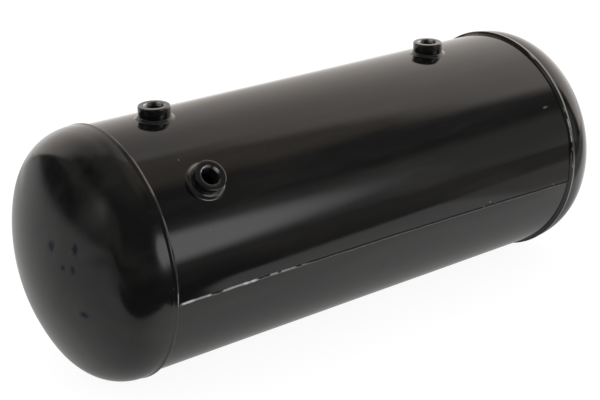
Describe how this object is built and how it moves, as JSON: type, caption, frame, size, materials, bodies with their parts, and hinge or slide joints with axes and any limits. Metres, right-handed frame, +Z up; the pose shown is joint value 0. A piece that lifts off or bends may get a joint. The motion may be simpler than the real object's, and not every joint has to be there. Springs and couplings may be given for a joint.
{
  "type": "horizontal compressed-air reservoir tank",
  "caption": "Welded steel air pressure tank lying on its side, with a rolled shell, dished ends, a lengthwise seam and threaded port bosses.",
  "frame": {"origin": "on the lowest line of the shell, at the middle of its length, where the clamping bands pull it onto its bracket; the skirts of the heads reach 2.5 mm lower, and the weld beads at their edges 3.6 mm", "axes": "+X along the tank from its left end to its right end, +Y from the front, where the lengthwise weld and the third port are, to the back, +Z up through the two top ports"},
  "size_m": [0.748, 0.2832, 0.2934],
  "materials": {
    "black_paint": "gloss",
    "weld_paint": "gloss"
  },
  "bodies": {
    "root": {"shell": "black_paint", "left_head": "black_paint", "right_head": "black_paint", "long_seam_weld": "weld_paint", "left_girth_weld": "weld_paint", "right_girth_weld": "weld_paint", "left_top_port_boss": "black_paint", "left_top_boss_weld": "weld_paint", "right_top_port_boss": "black_paint", "right_top_boss_weld": "weld_paint", "front_port_boss": "black_paint", "front_boss_weld": "weld_paint"}
  },
  "joints": []
}
